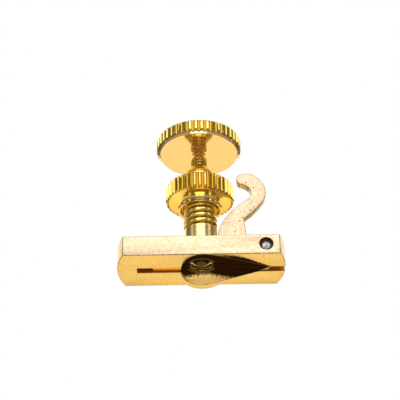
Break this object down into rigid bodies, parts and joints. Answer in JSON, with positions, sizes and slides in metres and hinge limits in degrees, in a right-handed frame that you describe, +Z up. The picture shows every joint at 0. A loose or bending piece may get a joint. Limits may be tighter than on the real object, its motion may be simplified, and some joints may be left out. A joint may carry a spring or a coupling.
{
  "type": "string fine tuner",
  "caption": "Hook-type string fine tuner: slotted bar with a threaded post and clamp nut, and a thumb screw that tilts a hooked lever.",
  "frame": {"origin": "middle of the bar's underside, on the adjusting screw's axis", "axes": "+Z up the adjusting screw to its thumb head, +X along the bar towards the lever's pivot pin, -Y the front"},
  "size_m": [0.0196, 0.0104, 0.0179],
  "materials": {
    "satin_gold": "gold plated, satin, lightly pitted",
    "polished_gold": "gold plated, polished",
    "steel": "sheared pin end, dull"
  },
  "bodies": {
    "frame": {"body_bar": "satin_gold", "threaded_post": "polished_gold", "pivot_pin": "steel"},
    "nut": {"clamp_nut": "polished_gold"},
    "screw": {"adjusting_screw": "polished_gold"},
    "head": {"thumb_head": "polished_gold"},
    "lever": {"hook_lever": "satin_gold"}
  },
  "joints": [
    {"name": "screw_travel", "type": "slide", "parent": "frame", "child": "screw", "axis": [0, 0, -1], "range_m": [0, 0.0006]},
    {"name": "head_turn", "type": "hinge", "parent": "screw", "child": "head", "pos_m": [0, 0, 0.017], "axis": [0, 0, -1], "range_deg": [0, 480.5]},
    {"name": "lever_tilt", "type": "hinge", "parent": "frame", "child": "lever", "pos_m": [0.00745, 0, 0.0013], "axis": [0, -1, 0], "range_deg": [0, 5.34]},
    {"name": "nut_turn", "type": "hinge", "parent": "frame", "child": "nut", "pos_m": [0, 0, 0.01], "axis": [0, 0, 1], "range_deg": [-144, 360]}
  ],
  "couplings": [
    {"joint": "head_turn", "follows": "screw_travel", "rad_per_m": 13963},
    {"joint": "lever_tilt", "follows": "screw_travel", "rad_per_m": 155.04}
  ]
}
